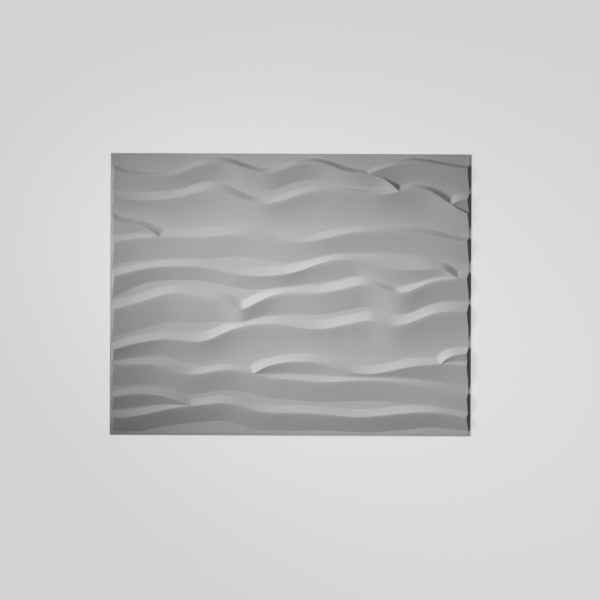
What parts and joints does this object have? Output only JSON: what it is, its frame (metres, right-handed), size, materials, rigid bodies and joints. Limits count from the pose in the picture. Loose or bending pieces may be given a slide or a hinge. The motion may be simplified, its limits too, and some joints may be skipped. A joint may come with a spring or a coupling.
{
  "type": "3d wall panel tile",
  "caption": "Rectangular off-white wall panel tile, a thin moulded skin with a relief of dune waves whose crests branch and meet, a narrow flat rim and a hollow back.",
  "frame": {"origin": "middle of the back plane, which lies on the floor", "axes": "+X along the panel's length and its waves, +Y across them towards the edge that is uppermost in the picture, +Z out of the wall, from the back to the crests"},
  "size_m": [0.8, 0.625, 0.016],
  "materials": {
    "moulded_fibre": "matte"
  },
  "bodies": {
    "root": {"wall_panel": "moulded_fibre"}
  },
  "joints": []
}
